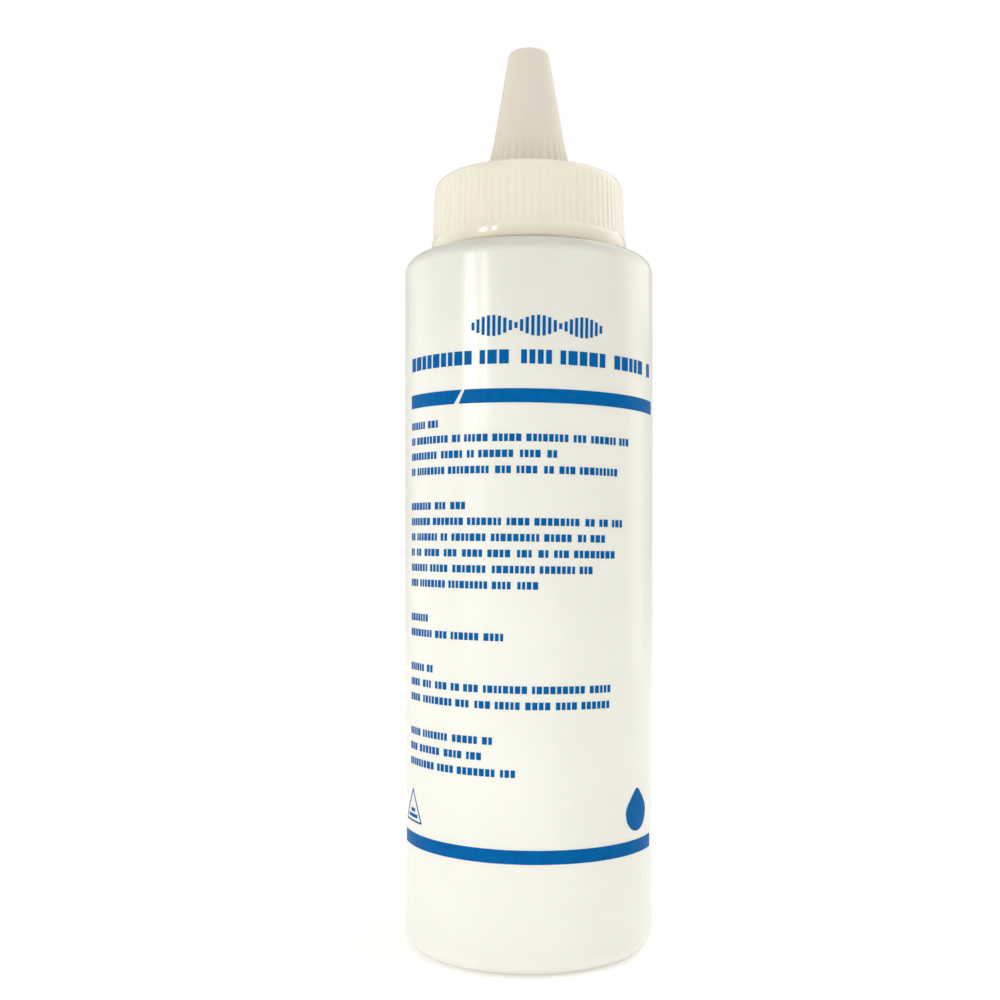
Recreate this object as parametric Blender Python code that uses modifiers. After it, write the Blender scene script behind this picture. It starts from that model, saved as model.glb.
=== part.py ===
"""Squeeze bottle of ultrasound coupling gel with a screw closure and a twist-open nozzle.

Frame: metres, +Z up the bottle's axis, the foot ring stands on Z = 0 and the printed
front of the bottle faces -Y. Every turned piece shares the Z axis.
Run with: blender --background --python part.py
"""
import math

import bpy
import bmesh

MM = 0.001

# ---- bottle ---------------------------------------------------------------------
BODY_RADIUS = 25.0
WALL = 0.8
FOOT_OUTER = 21.4
FOOT_INNER = 17.6
BASE_CORNER = 3.6
PUSH_UP = 2.4
SHOULDER_Z = 137.5
SHOULDER_CORNER = 3.0
SHOULDER_RISE = 0.12
NECK_ROOT = 16.7
NECK_BORE = 15.3
MOUTH_Z = 150.5

# ---- screw thread between the neck and the closure ---------------------------------
THREAD_PITCH = 25.4 / 6.0
NECK_CREST = 17.65
CAP_BORE = 18.0
CAP_THREAD_CREST = 17.0
NECK_THREAD_START_Z = 142.6
NECK_THREAD_TURNS = 1.5
THREAD_TURN = 2.3
CAP_THREAD_TURNS = 1.5

# ---- closure ------------------------------------------------------------------------
RIM_Z = 138.6
RIM_TOP_Z = 141.3
RIM_RADIUS = 19.73
SKIRT_LOW_RADIUS = 19.3
SKIRT_TOP_RADIUS = 18.95
SKIRT_TOP_Z = 151.35
DECK_CORNER = 2.2
DECK_SEAT = 8.6
DECK_SEAT_Z = 155.6
DECK_UNDER_Z = 152.4
DECK_INSIDE_Z = 154.2
RIB_COUNT = 80
RIB_HEIGHT = 0.33
RIB_HALF_WIDTH = 0.42

# ---- spigot on the closure, with the pin that stops the orifice ------------------------
SPIGOT_ROOT = 5.0
SPIGOT_CREST = 5.75
SPIGOT_NECK = 4.35
SPIGOT_NECK_Z = 161.6
SPIGOT_TOP_Z = 166.8
SPIGOT_BORE = 3.2
SPIGOT_THREAD_Z = 157.2
PIN_RADIUS = 1.4
PIN_BASE_RADIUS = 1.9
PIN_FOOT_Z = 155.2
PIN_TOP_Z = 179.5
SPOKE_HEIGHT = 1.8
SPOKE_WIDTH = 1.1
SPOKE_COUNT = 3

# ---- twist nozzle ----------------------------------------------------------------------
TWIST_LEAD = 6.0
TWIST_STARTS = 2
NOZZLE_FOOT_Z = 155.9
NOZZLE_TOP_Z = 180.1
NOZZLE_TIP_CORNER = 0.9
NOZZLE_FOOT_RADIUS = 8.16
NOZZLE_TAPER = 0.1714
NOZZLE_BORE = 6.1
NOZZLE_THREAD_CREST = 5.35
ORIFICE_RADIUS = 1.7
GRIP_COUNT = 36
GRIP_HEIGHT = 5.4
GRIP_DEPTH = 0.28

# ---- soft and flat pieces -----------------------------------------------------------------
GASKET_INNER = 14.6
GASKET_OUTER = 17.6
GASKET_Z = 151.1
GASKET_THICK = 1.0
FOIL_RADIUS = 16.4
FOIL_Z = 150.7
FOIL_THICK = 0.2
SEAL_MID_RADIUS = 5.15
SEAL_SECTION = 0.55
SEAL_Z = 162.7
GEL_GAP = 0.3
GEL_LEVEL_Z = 134.2

BOTTLE_STEPS = 60
CAP_STEPS = RIB_COUNT
NOZZLE_STEPS = GRIP_COUNT
THREAD_STEPS = 30


def clear_scene():
    for obj in list(bpy.data.objects):
        bpy.data.objects.remove(obj, do_unlink=True)


def make_collection(name):
    collection = bpy.data.collections.new(name)
    bpy.context.scene.collection.children.link(collection)
    return collection


def make_material(name, color, roughness, metallic=0.0):
    material = bpy.data.materials.new(name)
    material.use_nodes = True
    shader = material.node_tree.nodes["Principled BSDF"]
    shader.inputs["Base Color"].default_value = (*color, 1.0)
    shader.inputs["Roughness"].default_value = roughness
    shader.inputs["Metallic"].default_value = metallic
    return material


def arc(center_r, center_z, radius, start, end, count):
    """Points of a circular arc in the (radius, height) plane, angles in degrees."""
    points = []
    for i in range(count + 1):
        angle = math.radians(start + (end - start) * i / count)
        points.append((center_r + radius * math.cos(angle), center_z + radius * math.sin(angle)))
    return points


def add_object(name, mesh, collection, material=None):
    obj = bpy.data.objects.new(name, mesh)
    collection.objects.link(obj)
    if material is not None:
        mesh.materials.append(material)
    return obj


def turned(name, profile, steps, collection, material=None, closed=False):
    """A profile of (radius, height) points in mm, spun about Z by a Screw modifier."""
    vertices = [(r * MM, 0.0, z * MM) for r, z in profile]
    edges = [(i, i + 1) for i in range(len(vertices) - 1)]
    if closed:
        edges.append((len(vertices) - 1, 0))
    mesh = bpy.data.meshes.new(name)
    mesh.from_pydata(vertices, edges, [])
    obj = add_object(name, mesh, collection, material)
    screw = obj.modifiers.new("Turn", "SCREW")
    screw.axis = "Z"
    screw.angle = 2.0 * math.pi
    screw.steps = steps
    screw.render_steps = steps
    screw.use_merge_vertices = True
    screw.merge_threshold = 0.00001
    screw.use_smooth_shade = True
    return obj


def finish_mesh(obj):
    """Replace an object's mesh with its evaluated mesh, smooth with crisp edges."""
    depsgraph = bpy.context.evaluated_depsgraph_get()
    mesh = bpy.data.meshes.new_from_object(obj.evaluated_get(depsgraph))
    mesh.name = obj.name
    obj.modifiers.clear()
    obj.data = mesh
    mesh.shade_smooth()
    mesh.set_sharp_from_angle(angle=math.radians(35.0))


def boolean(obj, tool, operation):
    modifier = obj.modifiers.new(tool.name, "BOOLEAN")
    modifier.operation = operation
    modifier.solver = "EXACT"
    modifier.object = tool


def hide_tool(obj):
    obj.hide_render = True
    obj.display_type = "WIRE"


def helix_ridge(name, root, crest, start_z, pitch, turns, start_angle, halves, collection):
    """A helical ridge of trapezoid section that runs out into the wall at both ends.

    root is buried in the wall it stands on, crest is its free edge, and halves holds the
    half-height of the section at the root and at the crest. It climbs counter-clockwise.
    """
    steps = int(round(THREAD_STEPS * turns))
    fade = 3
    rows = []
    for i in range(steps + 1):
        share = min(1.0, (min(i, steps - i) + 0.35) / fade)
        top = root + (crest - root) * share
        angle = math.radians(start_angle) + 2.0 * math.pi * turns * i / steps
        middle = start_z + pitch * turns * i / steps
        section = [(root, -halves[0]), (top, -halves[1]), (top, halves[1]), (root, halves[0])]
        rows.append([(r * MM * math.cos(angle), r * MM * math.sin(angle), (middle + z) * MM)
                     for r, z in section])
    grid = bmesh.new()
    made = [[grid.verts.new(point) for point in row] for row in rows]
    for low, high in zip(made, made[1:]):
        for k in range(4):
            n = (k + 1) % 4
            grid.faces.new((low[k], low[n], high[n], high[k]))
    grid.faces.new(made[0][::-1])
    grid.faces.new(made[-1])
    bmesh.ops.recalc_face_normals(grid, faces=grid.faces)
    mesh = bpy.data.meshes.new(name)
    grid.to_mesh(mesh)
    grid.free()
    obj = add_object(name, mesh, collection)
    hide_tool(obj)
    return obj


def ring_of_bars(name, section, count, turn, collection):
    """Copies of one straight bar around Z.

    section is a list of two rows of (radius, half-width, height) corners, low row first.
    """
    grid = bmesh.new()
    for i in range(count):
        angle = 2.0 * math.pi * (i + turn) / count
        out = (math.cos(angle), math.sin(angle))
        side = (-out[1], out[0])
        bar = bmesh.ops.create_cube(grid, size=1.0)["verts"]
        for vertex in bar:
            row = section[0] if vertex.co.z < 0.0 else section[1]
            radius, half, height = row[0] if vertex.co.x < 0.0 else row[1]
            half = half if vertex.co.y > 0.0 else -half
            vertex.co.x = (out[0] * radius + side[0] * half) * MM
            vertex.co.y = (out[1] * radius + side[1] * half) * MM
            vertex.co.z = height * MM
    mesh = bpy.data.meshes.new(name)
    grid.to_mesh(mesh)
    grid.free()
    obj = add_object(name, mesh, collection)
    hide_tool(obj)
    return obj


def bottle_inside():
    """Profile of the cavity, from the middle of the floor up to the mouth."""
    top = SHOULDER_Z - WALL
    inner = BODY_RADIUS - WALL
    points = [(0.0, PUSH_UP + WALL), (FOOT_INNER - 3.4, PUSH_UP + WALL - 0.3)]
    points += [(FOOT_INNER - 0.6, WALL + 0.6), (FOOT_INNER + 1.0, WALL)]
    points += arc(inner - 3.0, WALL + 3.0, 3.0, -90.0, 0.0, 3)
    points += arc(inner - 2.2, top - 2.2, 2.2, 0.0, 88.0, 3)
    points += [(NECK_BORE + 0.7, top + 0.1), (NECK_BORE, top + 0.8)]
    return points


def bottle_profile():
    points = bottle_inside()
    points += [(NECK_BORE, MOUTH_Z), (NECK_ROOT - 0.3, MOUTH_Z), (NECK_ROOT, MOUTH_Z - 0.3)]
    points += [(NECK_ROOT, SHOULDER_Z + 0.9)]
    points += [(NECK_ROOT + 0.8, SHOULDER_Z + SHOULDER_RISE)]
    points += arc(BODY_RADIUS - SHOULDER_CORNER, SHOULDER_Z - SHOULDER_CORNER, SHOULDER_CORNER,
                  90.0, 0.0, 5)
    points += arc(BODY_RADIUS - BASE_CORNER, BASE_CORNER, BASE_CORNER, 0.0, -90.0, 4)
    points += [(FOOT_INNER, 0.0), (FOOT_INNER - 1.4, 0.6), (FOOT_INNER - 4.0, PUSH_UP - 0.2)]
    points += [(0.0, PUSH_UP)]
    return points


def build_bottle(parts, tools):
    plastic = make_material("bottle_plastic", (0.84, 0.83, 0.75), 0.38)
    bottle = turned("bottle_body", bottle_profile(), BOTTLE_STEPS, parts, plastic)
    thread = helix_ridge("neck_thread", NECK_ROOT - 0.5, NECK_CREST, NECK_THREAD_START_Z,
                         THREAD_PITCH, NECK_THREAD_TURNS, THREAD_TURN, (1.25, 0.5), tools)
    boolean(bottle, thread, "UNION")
    return bottle


def build_gel(parts):
    """The gel's free surface dips a little and climbs where it wets the wall."""
    gel = make_material("coupling_gel", (0.78, 0.86, 0.88), 0.08)
    wall = BODY_RADIUS - WALL - GEL_GAP
    points = [(0.0, GEL_LEVEL_Z - 0.5), (wall - 4.0, GEL_LEVEL_Z - 0.4)]
    points += [(wall - 1.0, GEL_LEVEL_Z), (wall, GEL_LEVEL_Z + 0.5)]
    floor = WALL + GEL_GAP + 0.1
    points += arc(wall - 3.0, floor + 3.0, 3.0, 0.0, -90.0, 3)
    points += [(FOOT_INNER + 1.0, floor), (FOOT_INNER - 0.7, floor + 0.7)]
    points += [(FOOT_INNER - 3.4, PUSH_UP + floor - 0.2), (0.0, PUSH_UP + floor)]
    return turned("gel_fill", points, 48, parts, gel)


def build_foil(parts):
    foil = make_material("seal_foil", (0.75, 0.75, 0.77), 0.3, 0.9)
    top = FOIL_Z + FOIL_THICK
    points = [(0.0, top), (FOIL_RADIUS, top), (FOIL_RADIUS, FOIL_Z), (0.0, FOIL_Z)]
    return turned("foil_seal", points, BOTTLE_STEPS, parts, foil)


def build_gasket(parts):
    foam = make_material("gasket_foam", (0.9, 0.9, 0.88), 0.7)
    top = GASKET_Z + GASKET_THICK
    points = [(GASKET_INNER, top), (GASKET_OUTER, top), (GASKET_OUTER, GASKET_Z),
              (GASKET_INNER, GASKET_Z)]
    return turned("cap_gasket", points, BOTTLE_STEPS, parts, foam, closed=True)


def cap_profile():
    """The closure's wall, from the spigot's tip over the deck and down the skirt."""
    points = [(SPIGOT_BORE, SPIGOT_TOP_Z), (SPIGOT_NECK - 0.3, SPIGOT_TOP_Z)]
    points += [(SPIGOT_NECK, SPIGOT_TOP_Z - 0.4), (SPIGOT_NECK, SPIGOT_NECK_Z)]
    points += [(SPIGOT_ROOT, SPIGOT_NECK_Z - 0.4), (SPIGOT_ROOT, DECK_SEAT_Z)]
    points += [(DECK_SEAT, DECK_SEAT_Z - 0.02), (DECK_SEAT + 0.4, DECK_SEAT_Z - 0.2)]
    points += [(13.4, 154.55)]
    points += arc(SKIRT_TOP_RADIUS - DECK_CORNER, SKIRT_TOP_Z, DECK_CORNER, 74.0, 0.0, 4)
    points += [(SKIRT_LOW_RADIUS, RIM_TOP_Z + 0.25), (RIM_RADIUS, RIM_TOP_Z - 0.15)]
    points += [(RIM_RADIUS, RIM_Z + 0.3), (RIM_RADIUS - 0.3, RIM_Z)]
    points += [(CAP_BORE + 0.35, RIM_Z), (CAP_BORE, RIM_Z + 0.5), (CAP_BORE, DECK_UNDER_Z - 0.2)]
    points += [(CAP_BORE - 0.2, DECK_UNDER_Z), (GASKET_INNER, DECK_UNDER_Z)]
    points += [(GASKET_INNER - 0.4, DECK_UNDER_Z + 0.6), (6.0, DECK_INSIDE_Z)]
    points += [(SPIGOT_BORE, DECK_INSIDE_Z)]
    return points


def skirt_ribs(tools):
    """Upright grip ribs that start on the rim and run out on the dome's round edge."""
    low = [(SKIRT_LOW_RADIUS - 0.35, RIB_HALF_WIDTH, RIM_TOP_Z - 0.25),
           (SKIRT_LOW_RADIUS + RIB_HEIGHT, RIB_HALF_WIDTH * 0.5, RIM_TOP_Z - 0.25)]
    high = [(SKIRT_TOP_RADIUS - 0.45, RIB_HALF_WIDTH, SKIRT_TOP_Z + 1.5),
            (SKIRT_TOP_RADIUS + RIB_HEIGHT - 0.05, RIB_HALF_WIDTH * 0.5, SKIRT_TOP_Z + 0.5)]
    return ring_of_bars("skirt_ribs", (low, high), RIB_COUNT, 0.5, tools)


def build_pin(tools):
    """The post that plugs the nozzle's orifice, standing in the middle of the spigot."""
    points = [(0.0, PIN_TOP_Z), (PIN_RADIUS - 0.35, PIN_TOP_Z), (PIN_RADIUS, PIN_TOP_Z - 0.35)]
    points += [(PIN_RADIUS, 171.0), (PIN_BASE_RADIUS, 165.0)]
    points += [(PIN_BASE_RADIUS, PIN_FOOT_Z + 0.3), (PIN_BASE_RADIUS - 0.3, PIN_FOOT_Z)]
    points += [(0.0, PIN_FOOT_Z)]
    pin = turned("orifice_pin", points, 24, tools)
    hide_tool(pin)
    return pin


def build_spokes(tools):
    """Webs that carry the pin and leave windows for the gel between them."""
    inner = PIN_BASE_RADIUS - 0.5
    outer = SPIGOT_BORE + 0.6
    half = SPOKE_WIDTH / 2.0
    rows = []
    for height in (PIN_FOOT_Z + 0.25, PIN_FOOT_Z + 0.25 + SPOKE_HEIGHT):
        rows.append([(inner, half, height), (outer, half, height)])
    return ring_of_bars("pin_spokes", rows, SPOKE_COUNT, 0.25, tools)


def build_cap(parts, tools):
    plastic = make_material("cap_plastic", (0.84, 0.80, 0.69), 0.33)
    cap = turned("screw_cap", cap_profile(), CAP_STEPS, parts, plastic, closed=True)
    boolean(cap, skirt_ribs(tools), "UNION")
    turn = THREAD_TURN + 90.0
    start = NECK_THREAD_START_Z - THREAD_PITCH / 2.0
    start += THREAD_PITCH * (turn - THREAD_TURN) / 360.0
    thread = helix_ridge("cap_thread", CAP_BORE + 0.45, CAP_THREAD_CREST, start,
                         THREAD_PITCH, CAP_THREAD_TURNS, turn, (1.2, 0.45), tools)
    boolean(cap, thread, "UNION")
    for k in range(TWIST_STARTS):
        ridge = helix_ridge("spigot_thread_%d" % k, SPIGOT_ROOT - 0.4, SPIGOT_CREST,
                            SPIGOT_THREAD_Z, TWIST_LEAD, 0.5, 360.0 * k / TWIST_STARTS,
                            (0.85, 0.35), tools)
        boolean(cap, ridge, "UNION")
    boolean(cap, build_spokes(tools), "UNION")
    boolean(cap, build_pin(tools), "UNION")
    return cap


def nozzle_radius(z):
    return NOZZLE_FOOT_RADIUS - NOZZLE_TAPER * (z - NOZZLE_FOOT_Z)


def nozzle_profile():
    """The nozzle's wall, from the orifice's lip down the cone and back up the bore."""
    shoulder = NOZZLE_TOP_Z - NOZZLE_TIP_CORNER
    points = [(ORIFICE_RADIUS + 0.3, NOZZLE_TOP_Z)]
    points += arc(nozzle_radius(shoulder) - NOZZLE_TIP_CORNER, shoulder, NOZZLE_TIP_CORNER,
                  90.0, 9.7, 3)
    points += [(nozzle_radius(NOZZLE_FOOT_Z + GRIP_HEIGHT), NOZZLE_FOOT_Z + GRIP_HEIGHT)]
    points += [(nozzle_radius(NOZZLE_FOOT_Z + 0.2), NOZZLE_FOOT_Z + 0.2)]
    points += [(NOZZLE_FOOT_RADIUS - 0.2, NOZZLE_FOOT_Z)]
    points += [(NOZZLE_BORE + 0.3, NOZZLE_FOOT_Z), (NOZZLE_BORE, NOZZLE_FOOT_Z + 0.4)]
    points += [(NOZZLE_BORE, SEAL_Z - 1.6), (5.4, SEAL_Z - 1.25), (5.4, SEAL_Z - 1.0)]
    groove = SEAL_MID_RADIUS + SEAL_SECTION + 0.25
    points += [(groove, SEAL_Z - 0.85), (groove, SEAL_Z + 0.85), (5.0, SEAL_Z + 1.0)]
    points += [(5.0, SPIGOT_TOP_Z + 0.3)]
    points += [(3.0, 176.6), (ORIFICE_RADIUS, 177.3), (ORIFICE_RADIUS, NOZZLE_TOP_Z - 0.3)]
    return points


def build_nozzle(parts, tools):
    plastic = make_material("nozzle_plastic", (0.73, 0.66, 0.54), 0.36)
    nozzle = turned("twist_nozzle", nozzle_profile(), NOZZLE_STEPS, parts, plastic, closed=True)
    high = NOZZLE_FOOT_Z + GRIP_HEIGHT
    low_row = [(nozzle_radius(NOZZLE_FOOT_Z) - 0.5, 0.36, NOZZLE_FOOT_Z + 0.5),
               (nozzle_radius(NOZZLE_FOOT_Z) + GRIP_DEPTH, 0.2, NOZZLE_FOOT_Z + 0.5)]
    high_row = [(nozzle_radius(high) - 0.4, 0.3, high),
                (nozzle_radius(high) + 0.02, 0.16, high - 0.9)]
    grips = ring_of_bars("nozzle_grips", (low_row, high_row), GRIP_COUNT, 0.5, tools)
    boolean(nozzle, grips, "UNION")
    for k in range(TWIST_STARTS):
        angle = 360.0 * k / TWIST_STARTS
        start = SPIGOT_THREAD_Z - TWIST_LEAD / (2.0 * TWIST_STARTS) + 1.0
        ridge = helix_ridge("nozzle_thread_%d" % k, NOZZLE_BORE + 0.35, NOZZLE_THREAD_CREST,
                            start, TWIST_LEAD, 0.5, angle + 60.0, (0.8, 0.3), tools)
        boolean(nozzle, ridge, "UNION")
    return nozzle


def build_seal(parts):
    """Rubber ring that rides in the nozzle and slides on the spigot's smooth neck."""
    rubber = make_material("seal_rubber", (0.78, 0.78, 0.76), 0.55)
    ring = [(SEAL_MID_RADIUS + SEAL_SECTION * math.cos(a), SEAL_Z + SEAL_SECTION * math.sin(a))
            for a in [-2.0 * math.pi * i / 8 for i in range(8)]]
    return turned("nozzle_seal_ring", ring, 32, parts, rubber, closed=True)


def main():
    clear_scene()
    parts = make_collection("ultrasound_gel_bottle")
    tools = make_collection("cutters")
    build_bottle(parts, tools)
    build_gel(parts)
    build_foil(parts)
    build_gasket(parts)
    build_cap(parts, tools)
    build_seal(parts)
    build_nozzle(parts, tools)
    for obj in parts.objects:
        finish_mesh(obj)


main()
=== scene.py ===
"""Looks of the ultrasound gel bottle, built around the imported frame.

Lengths in this file are millimetres unless a name says otherwise, and MM turns them into
metres. The bottle's axis is Z, its printed front faces -Y, and an angle of 0 is that front,
growing towards +X.
"""
import math
import random

import bpy
import numpy as np
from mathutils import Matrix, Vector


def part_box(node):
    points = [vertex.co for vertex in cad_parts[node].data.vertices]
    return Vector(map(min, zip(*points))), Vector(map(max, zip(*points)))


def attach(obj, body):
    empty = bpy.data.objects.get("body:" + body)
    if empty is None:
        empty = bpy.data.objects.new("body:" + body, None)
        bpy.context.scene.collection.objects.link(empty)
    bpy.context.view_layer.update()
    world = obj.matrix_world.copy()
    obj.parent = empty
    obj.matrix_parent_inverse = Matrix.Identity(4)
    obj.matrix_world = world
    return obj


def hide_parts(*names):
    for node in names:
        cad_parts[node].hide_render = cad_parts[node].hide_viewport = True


MM = 0.001
TAU = 2.0 * math.pi

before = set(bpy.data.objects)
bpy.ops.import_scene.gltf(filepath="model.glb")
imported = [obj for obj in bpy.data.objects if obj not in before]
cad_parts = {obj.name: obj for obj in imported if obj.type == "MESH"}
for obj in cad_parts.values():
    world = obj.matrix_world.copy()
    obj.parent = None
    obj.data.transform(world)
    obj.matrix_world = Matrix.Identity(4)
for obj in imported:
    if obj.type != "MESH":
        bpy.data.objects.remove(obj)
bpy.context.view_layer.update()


def node_size(node):
    """Largest radius, lowest and highest level of a CAD node."""
    low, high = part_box(node)
    return high.x / MM, low.z / MM, high.z / MM


BODY_R, _, MOUTH_Z = node_size("bottle_body")
RIM_R, RIM_Z, PIN_TOP = node_size("screw_cap")
_, NOZZLE_Z, TIP_Z = node_size("twist_nozzle")
GEL_R, GEL_LOW, GEL_TOP = node_size("gel_fill")
FOIL_R, FOIL_LOW, FOIL_TOP = node_size("foil_seal")
GASKET_R, GASKET_LOW, GASKET_TOP = node_size("cap_gasket")
SEAL_R, SEAL_LOW, SEAL_TOP = node_size("nozzle_seal_ring")

# bottle
WALL = 0.8
SHOULDER_Z = MOUTH_Z - 13.0
SHOULDER_CORNER = 3.0
BASE_CORNER = 3.6
FOOT_RING = 17.6        # radius of the ring that the bottle stands on
FOOT_ROUND = 0.7
PUSH_UP = 2.4           # height of the hollow in the base
NECK_R = 16.7
NECK_BORE = 15.3
NECK_FILLET = 1.0
LIP_INSIDE = 0.2
LIP_OUTSIDE = 0.3
GEL_CREEP = 0.5         # how far the gel climbs the wall above its level

# threads: "start" and "turn" are the level and the angle at which the helix begins, as on the
# frame's solids, "count" is the number of starts, "depth" the ridge's height, and "root" and
# "crest" are half of its width at the bottom and at the top
PITCH = 25.4 / 6.0
NECK_START = 142.6
NECK_THREAD = {"start": NECK_START, "turn": 2.3, "pitch": PITCH, "turns": 1.5, "count": 1,
               "depth": 0.95, "root": 0.99, "crest": 0.45}
CAP_THREAD = {"start": NECK_START - PITCH / 4.0, "turn": 92.3, "pitch": PITCH, "turns": 1.5,
              "count": 1, "depth": 1.0, "root": 0.96, "crest": 0.42}
SPIGOT_THREAD = {"start": 157.2, "turn": 0.0, "pitch": 6.0, "turns": 0.5, "count": 2,
                 "depth": 0.75, "root": 0.68, "crest": 0.3}
NOZZLE_THREAD = {"start": 156.7, "turn": 60.0, "pitch": 6.0, "turns": 0.5, "count": 2,
                 "depth": 0.75, "root": 0.64, "crest": 0.28}
THREAD_RUN_OUT = 0.55   # angle over which a ridge fades at its ends, in radians

# closure
RIBS = 80
RIB_HEIGHT = 0.14
RIB_TOP = 152.5         # level where the ribs have faded out
RIB_FADE = 1.8
DECK_R = 16.8           # inside this radius the deck has no ribs
SKIRT_LOW = 19.3        # radius of the skirt at the rim
SKIRT_TOP = 18.95       # radius of the skirt at the deck's corner
SKIRT_TOP_Z = 151.35
DECK_CORNER = 2.2
SEAT_R = 8.6
SEAT_Z = 155.6
CAP_BORE = 18.0
DECK_UNDER = 152.4
DECK_INSIDE = 154.2
SPIGOT_R = 5.0
SPIGOT_NECK_R = 4.35
SPIGOT_TOP = 166.8
SPIGOT_NECK_Z = 161.6
SPIGOT_LIP = 0.3
PIN_R = 1.9
PIN_TIP_R = 1.4
PIN_FOOT = 155.2
RIM_HEIGHT = 2.7
RIM_FLARE = 0.8         # radius of the hollow from the skirt to the rim
RIM_SHOULDER = 0.9      # height of the rim's rounded upper edge
RIM_BULGE = 0.058       # how fast the rim falls back below that, per length squared
RIM_BULGE_HEIGHT = 1.2
RIM_ROUND = 0.6         # radius of the rim's lower edge
RIM_ROUND_IN = 0.726    # from the rim's outside to that edge's centre
RIM_FOOT = RIM_Z - 0.26

# nozzle
TAPER = 0.1714          # loss of radius per height
NOZZLE_FOOT_R = 8.16
NOZZLE_BORE = 6.1
NOZZLE_CHAMBER = 5.0
TIP_CORNER = 0.9
TIP_TAPER_Z = 178.6     # level where the cone ends and the rounded tip begins
GRIPS = 32
GRIP_HEIGHT = 0.26
GRIP_TOP = 5.4          # height of the grip ribs above the nozzle's foot
GRIP_FADE = 4.0
ORIFICE = 1.7

# front print: places are lengths along the wall, from the middle of the front and from the foot
PRINT_TILT = math.radians(0.7)
PRINT_CENTRE_Z = 65.0
INK_THICK = 0.035
INK_SUNK = 0.04         # how far the film reaches into the wall
STROKE = 0.17           # half of a stroke's width
BAND_HEIGHT = 2.6
UPPER_BAND = 107.5
LOWER_BAND = 22.45
TEXT_LEFT = -29.0
TEXT_TOP = 102.0
LINE_HEIGHT = 1.4
LINE_PITCH = 2.95
PARAGRAPH_GAP = 6.65
PARAGRAPHS = ((11.2, 50.7, 34.1, 48.2), (17.7, 48.4, 44.7, 48.1, 42.3, 31.3), (7.8, 24.9),
              (9.2, 46.2, 45.6), (22.4, 22.3, 27.0))
WORD_LENGTHS = (2, 3, 4, 5, 6, 7, 8, 9)
BLOCK_WIDTHS = (0.42, 0.5, 0.6, 0.7)
WORD_SPACES = (0.45, 0.55, 0.7)

# sockets of a colour Mix node, where the names are shared with its other data types
MIX_A, MIX_B, MIX_OUT = 6, 7, 2


# ---- meshes ----------------------------------------------------------------------------------

def arc(center_r, center_z, radius, start, end, count):
    """Points of an arc in the (radius, height) plane, angles in degrees."""
    angles = np.radians(np.linspace(start, end, count + 1))
    return [(center_r + radius * math.cos(a), center_z + radius * math.sin(a)) for a in angles]


def refine(points, step):
    """The same outline with no stretch longer than step."""
    out = []
    for a, b in zip(points, points[1:]):
        count = max(1, int(math.ceil(math.dist(a, b) / step)))
        for k in range(count):
            out.append((a[0] + (b[0] - a[0]) * k / count, a[1] + (b[1] - a[1]) * k / count))
    out.append(points[-1])
    return out


def even_angles(count):
    """Angles of a full turn, in radians."""
    return np.arange(count) * TAU / count


def make_mesh(name, verts, faces, sharp=None):
    """A flat-shaded mesh, or a smooth one with sharp edges above an angle in degrees."""
    mesh = bpy.data.meshes.new(name)
    mesh.from_pydata(verts, [], faces)
    mesh.update()
    if sharp is not None:
        mesh.shade_smooth()
        mesh.set_sharp_from_angle(angle=math.radians(sharp))
    return mesh


def quads_between(first, second, count=4):
    """Faces around a prism between two rings of vertices, given each ring's first index."""
    steps = [(k, (k + 1) % count) for k in range(count)]
    return [(first + k, second + k, second + n, first + n) for k, n in steps]


def add_piece(name, mesh, body, material, nodes=()):
    """Puts a mesh in the scene as a piece that rides on a body and stands for CAD nodes."""
    obj = bpy.data.objects.new(name, mesh)
    bpy.context.scene.collection.objects.link(obj)
    mesh.materials.append(material)
    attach(obj, body)
    if nodes:
        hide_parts(*nodes)


def revolve(name, points, angles, shape=None, closed=False, sharp=40.0):
    """Turns (radius, height) points about Z.

    shape(angle, radius, height) returns the radius at every place. Points on the axis
    become one vertex. Angles grow from the front, -Y, towards +X.
    """
    verts = []
    rows = []
    sin, cos = np.sin(angles), np.cos(angles)
    for r, z in points:
        if r < 1e-6:
            rows.append([len(verts)])
            verts.append((0.0, 0.0, z * MM))
            continue
        radius = np.full(len(angles), r)
        if shape is not None:
            radius = shape(angles, radius, z)
        start = len(verts)
        for k in range(len(angles)):
            verts.append((radius[k] * sin[k] * MM, -radius[k] * cos[k] * MM, z * MM))
        rows.append(list(range(start, start + len(angles))))
    faces = []
    pairs = list(zip(rows, rows[1:] + rows[:1] if closed else rows[1:]))
    count = len(angles)
    for high, low in pairs:
        for k in range(count):
            n = (k + 1) % count
            if len(high) == 1:
                faces.append((high[0], low[k], low[n]))
            elif len(low) == 1:
                faces.append((high[k], low[0], high[n]))
            else:
                faces.append((high[k], low[k], low[n], high[n]))
    return make_mesh(name, verts, faces, sharp)


def smoothstep(x):
    """0 below 0, 1 above 1, and an S-shaped rise between them."""
    x = np.clip(x, 0.0, 1.0)
    return x * x * (3.0 - 2.0 * x)


def thread_ridge(thread, angle, z):
    """Height at a level of helical ridges that climb counter-clockwise and fade at both ends."""
    total = np.zeros_like(angle)
    length = TAU * thread["turns"]
    half_root, half_crest = thread["root"], thread["crest"]
    plane = angle - math.pi / 2.0
    for k in range(thread["count"]):
        first = math.radians(thread["turn"]) + TAU * k / thread["count"]
        for lap in range(-1, 4):
            along = plane - first + TAU * lap
            middle = thread["start"] + thread["pitch"] * along / TAU
            side = smoothstep((half_root - np.abs(z - middle)) / (half_root - half_crest))
            ends = smoothstep(np.minimum(along, length - along) / THREAD_RUN_OUT)
            total = np.maximum(total, side * ends)
    return thread["depth"] * total


# ---- the bottle ------------------------------------------------------------------------------

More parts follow.
